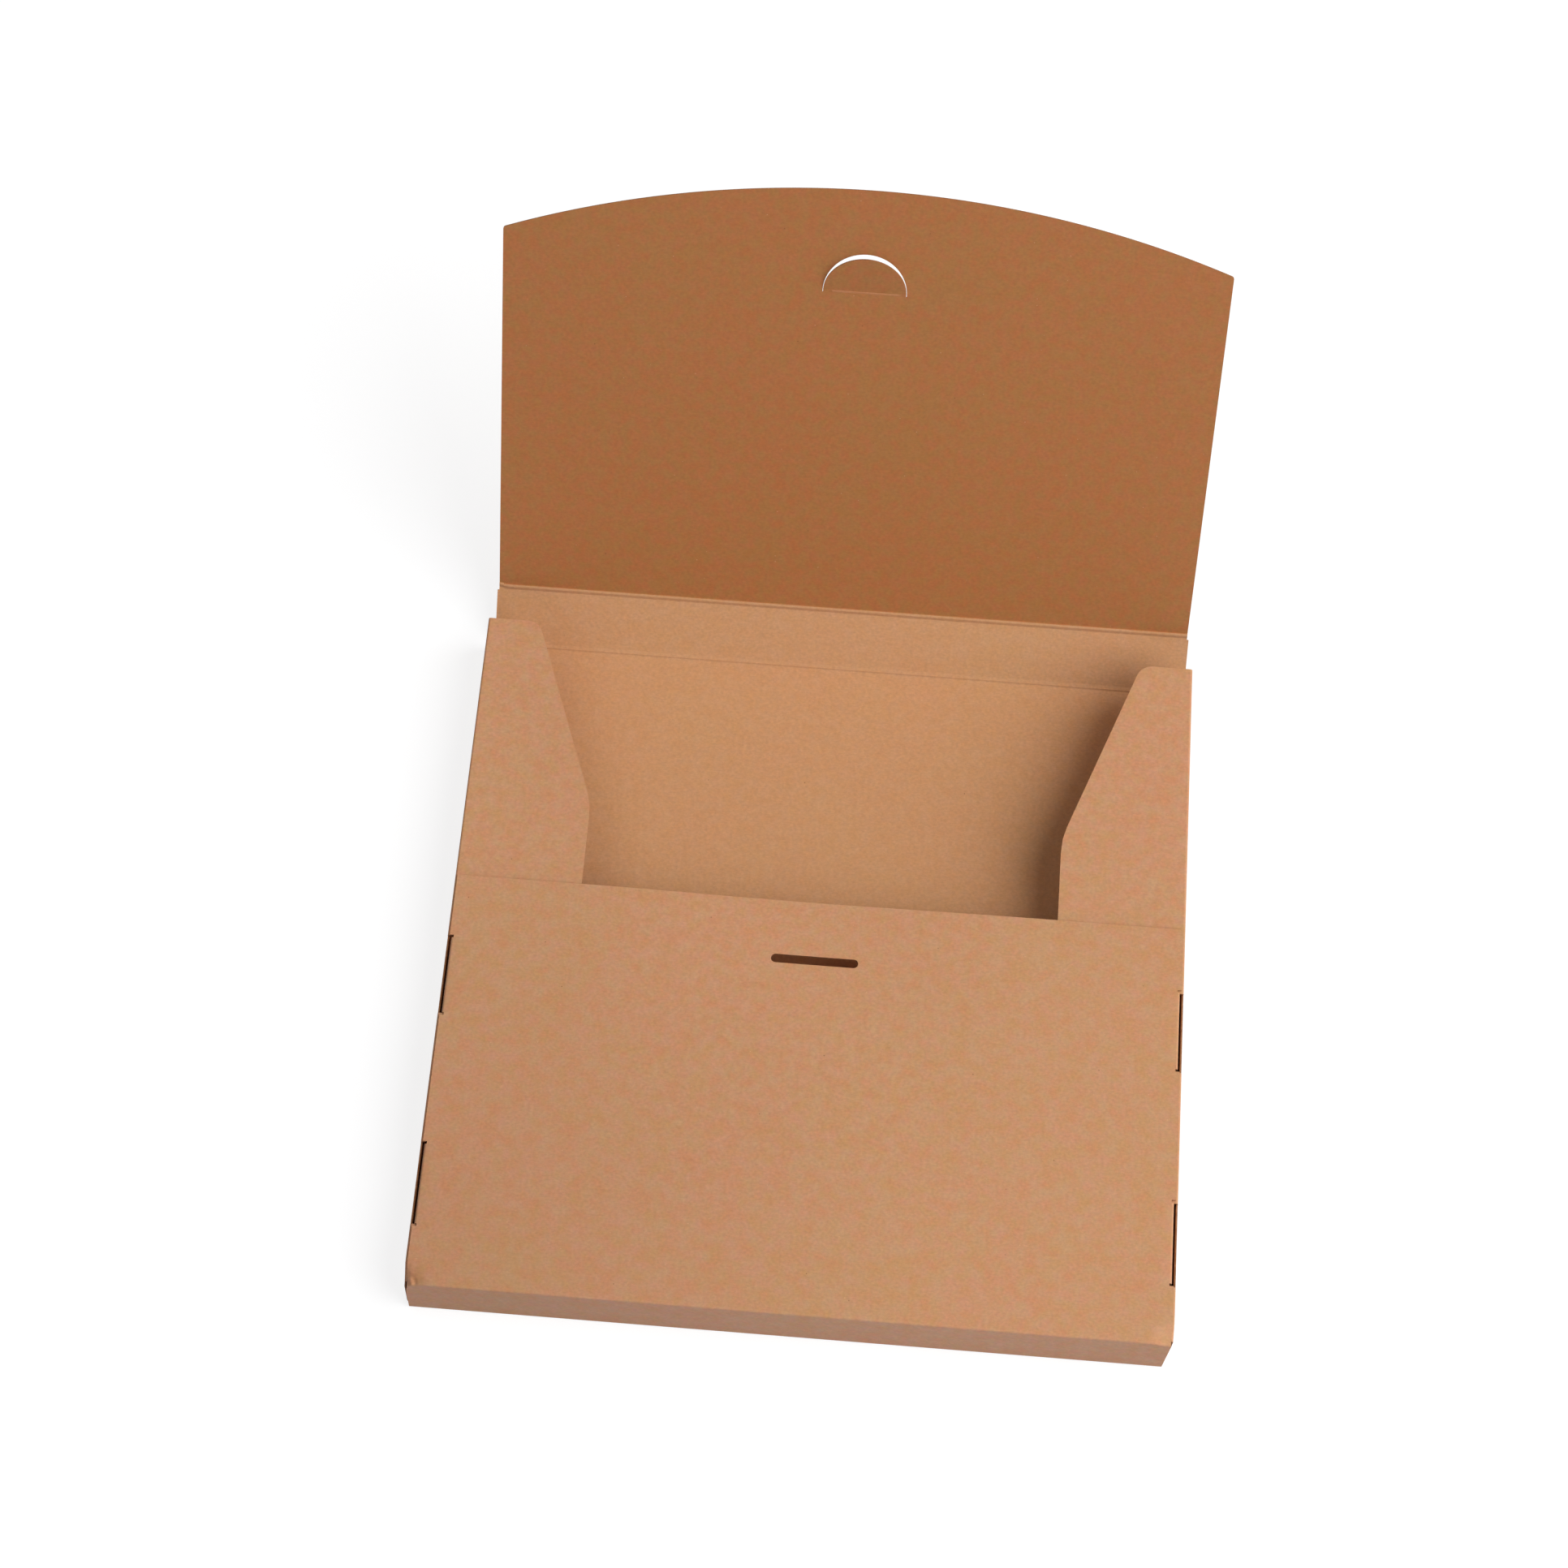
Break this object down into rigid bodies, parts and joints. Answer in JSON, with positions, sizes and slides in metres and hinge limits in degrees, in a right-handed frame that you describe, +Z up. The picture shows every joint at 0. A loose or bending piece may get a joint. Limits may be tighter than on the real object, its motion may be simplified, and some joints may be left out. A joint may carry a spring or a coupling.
{
  "type": "mailer box",
  "caption": "Flat square mailer box folded from kraft board, with a hinged back wall, an arched lid and a half-round tuck tab that shuts into a slot.",
  "frame": {"origin": "centre of the tray floor's underside", "axes": "+X to the right side wall, +Y from the front wall to the back crease, +Z up out of the tray"},
  "size_m": [0.25, 0.3458, 0.1601],
  "materials": {
    "kraft_board": "matte"
  },
  "bodies": {
    "tray": {"tray": "kraft_board"},
    "back_wall": {"back_wall": "kraft_board"},
    "lid": {"lid": "kraft_board"},
    "tuck_tab": {"tuck_tab": "kraft_board"}
  },
  "joints": [
    {"name": "back_wall_fold", "type": "hinge", "parent": "tray", "child": "back_wall", "pos_m": [0, 0.126, 0.00025], "axis": [1, 0, 0], "range_deg": [-42, 48]},
    {"name": "lid_fold", "type": "hinge", "parent": "back_wall", "child": "lid", "pos_m": [0, 0.14257, 0.01517], "axis": [1, 0, 0], "range_deg": [-20, 70]},
    {"name": "tuck_tab_fold", "type": "hinge", "parent": "lid", "child": "tuck_tab", "pos_m": [0, 0.20177, 0.12651], "axis": [1, 0, 0], "range_deg": [-12, 78]}
  ]
}
